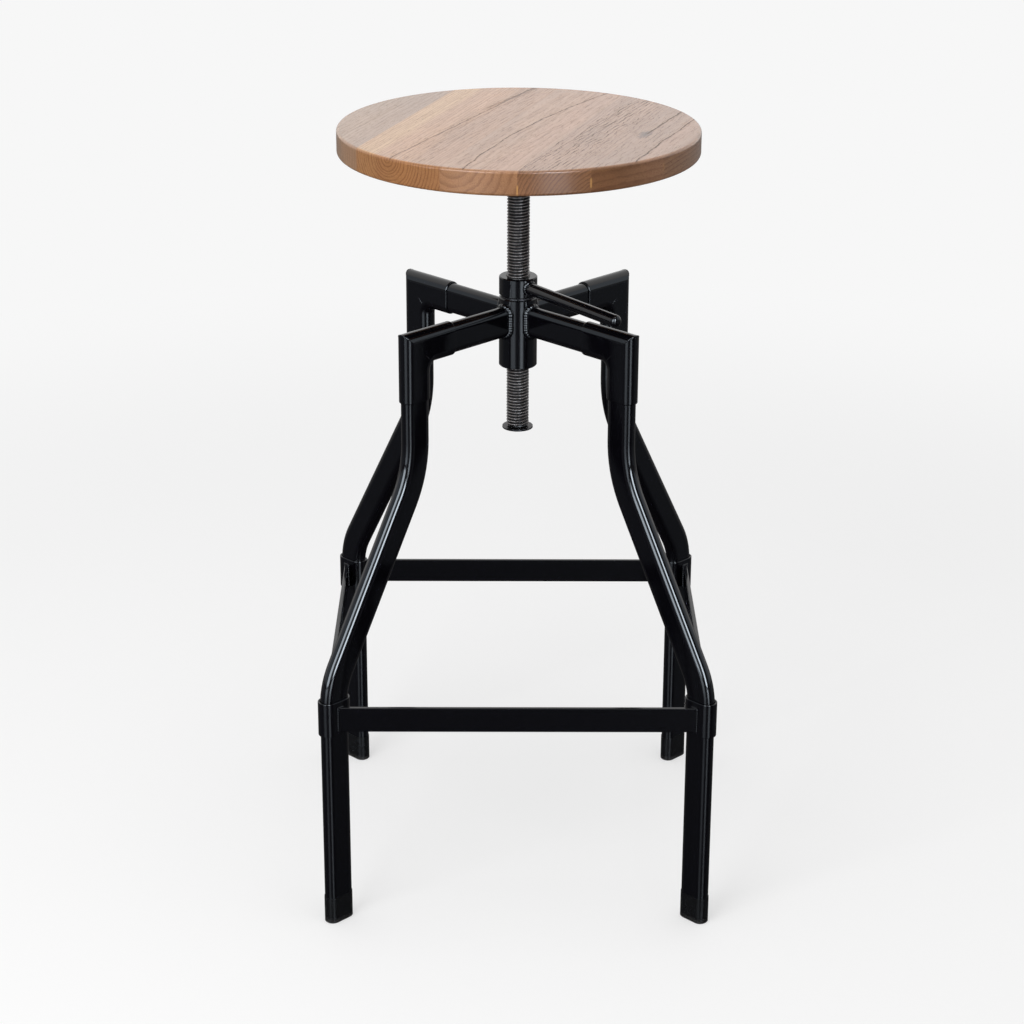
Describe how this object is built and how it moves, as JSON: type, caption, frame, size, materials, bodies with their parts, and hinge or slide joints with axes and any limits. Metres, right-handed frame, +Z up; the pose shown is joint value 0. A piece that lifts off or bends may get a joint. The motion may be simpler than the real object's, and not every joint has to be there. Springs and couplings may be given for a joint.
{
  "type": "machinist stool",
  "caption": "Backless workshop stool: round wooden seat on a screw spindle that turns in the hub of a steel tube frame with splayed legs, foot ring, plastic feet and a lock nut.",
  "frame": {"origin": "on the floor under the spindle's axis, at the centre of the foot print", "axes": "+Z up along the spindle, +X to the right and -Y towards the front, between two legs"},
  "size_m": [0.3798, 0.3798, 0.7515],
  "materials": {
    "black_powder_coat": "gloss black powder coat over steel tube",
    "thread_steel": "dark oiled screw thread with bright crests",
    "screw_steel": "zinc plated screws",
    "washer_steel": "black oxide washers",
    "bush_steel": "plain turned steel, threaded",
    "foot_cap_plastic": "smooth black plastic",
    "wood_stave_1": "satin clear varnish on a glued-up board",
    "wood_stave_2": "satin clear varnish on a glued-up board",
    "wood_stave_3": "satin clear varnish on a glued-up board",
    "wood_stave_4": "satin clear varnish on a glued-up board",
    "wood_stave_5": "satin clear varnish on a glued-up board",
    "wood_stave_6": "satin clear varnish on a glued-up board"
  },
  "bodies": {
    "frame": {"hub_tube": "black_powder_coat", "hub_bush_top": "bush_steel", "hub_bush_bottom": "bush_steel", "arm_back_right": "black_powder_coat", "arm_back_left": "black_powder_coat", "arm_front_left": "black_powder_coat", "arm_front_right": "black_powder_coat", "elbow_back_right": "black_powder_coat", "elbow_back_left": "black_powder_coat", "elbow_front_left": "black_powder_coat", "elbow_front_right": "black_powder_coat", "leg_back_right": "black_powder_coat", "leg_back_left": "black_powder_coat", "leg_front_left": "black_powder_coat", "leg_front_right": "black_powder_coat", "collar_back_right": "black_powder_coat", "collar_back_left": "black_powder_coat", "collar_front_left": "black_powder_coat", "collar_front_right": "black_powder_coat", "foot_cap_back_right": "foot_cap_plastic", "foot_cap_back_left": "foot_cap_plastic", "foot_cap_front_left": "foot_cap_plastic", "foot_cap_front_right": "foot_cap_plastic", "foot_bar_right": "black_powder_coat", "foot_bar_back": "black_powder_coat", "foot_bar_left": "black_powder_coat", "foot_bar_front": "black_powder_coat"},
    "stop": {"stop_washer": "washer_steel"},
    "seat": {"spindle": "thread_steel", "seat_plate": "black_powder_coat", "plate_screws": "screw_steel", "seat_stave_1": "wood_stave_1", "seat_stave_2": "wood_stave_2", "seat_stave_3": "wood_stave_3", "seat_stave_4": "wood_stave_4", "seat_stave_5": "wood_stave_5", "seat_stave_6": "wood_stave_6", "stop_screw": "screw_steel"},
    "washer": {"lock_washer": "washer_steel"},
    "lock": {"lock_nut": "black_powder_coat", "lock_handle": "black_powder_coat"}
  },
  "joints": [
    {"name": "seat_lift", "type": "slide", "parent": "frame", "child": "stop", "axis": [0, 0, 1], "range_m": [-0.114, 0.0627]},
    {"name": "seat_turn", "type": "hinge", "parent": "stop", "child": "seat", "pos_m": [0, 0, 0.6], "axis": [0, 0, 1], "range_deg": [-13680, 7524]},
    {"name": "lock_lift", "type": "slide", "parent": "frame", "child": "washer", "axis": [0, 0, 1], "range_m": [0, 0.003]},
    {"name": "lock_turn", "type": "hinge", "parent": "washer", "child": "lock", "pos_m": [0, 0, 0.597], "axis": [0, 0, 1], "range_deg": [0, 360]}
  ],
  "couplings": [
    {"joint": "seat_lift", "follows": "seat_turn", "m_per_rad": 0.00047746},
    {"joint": "lock_lift", "follows": "lock_turn", "m_per_rad": 0.00047746}
  ]
}
